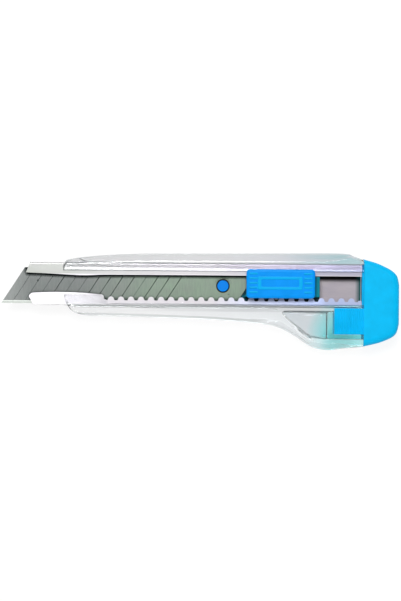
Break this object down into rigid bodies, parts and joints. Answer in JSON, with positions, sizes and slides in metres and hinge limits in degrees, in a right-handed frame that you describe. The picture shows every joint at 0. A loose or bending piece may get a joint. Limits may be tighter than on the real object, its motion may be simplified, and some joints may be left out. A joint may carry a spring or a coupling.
{
  "type": "snap off knife",
  "caption": "Snap-off knife: scored steel blade in a lipped steel channel, clear moulded handle, press-to-release slider and pull-off end cap.",
  "frame": {"origin": "on the flat back of the handle, under the blade channel's centre line and halfway along the knife's length with the blade as stored", "axes": "+X from the blade's tip to the end cap along the channel, +Y from the cutting edge to the blade's back, +Z out of the front face that carries the thumb button"},
  "size_m": [0.1699, 0.0416, 0.0155],
  "materials": {
    "clear_plastic": "clear, glossy, faint grey tint",
    "channel_steel": "bright rolled stainless sheet",
    "blade_steel": "ground carbon steel, bright along the cutting edge",
    "carrier_plastic": "moulded, fine grain",
    "spring_steel": "spring temper",
    "pawl_steel": "blanked",
    "button_plastic": "moulded, satin gloss",
    "cap_plastic": "moulded, fine grain"
  },
  "bodies": {
    "handle": {"handle_body": "clear_plastic", "blade_channel": "channel_steel"},
    "slider": {"slider_carrier": "carrier_plastic", "lock_spring": "spring_steel", "blade": "blade_steel"},
    "button": {"thumb_button": "button_plastic", "lock_pawl": "pawl_steel"},
    "cap": {"end_cap": "cap_plastic"}
  },
  "joints": [
    {"name": "blade_slide", "type": "slide", "parent": "handle", "child": "slider", "axis": [-1, 0, 0], "range_m": [-0.0171, 0.05985]},
    {"name": "button_press", "type": "slide", "parent": "slider", "child": "button", "axis": [0, 0, -1], "range_m": [0, 0.001], "stiffness_N_per_m": 900, "springref_m": -0.0015, "deforming": ["lock_spring"]},
    {"name": "cap_pull", "type": "slide", "parent": "handle", "child": "cap", "axis": [1, 0, 0], "range_m": [0, 0.025]}
  ]
}
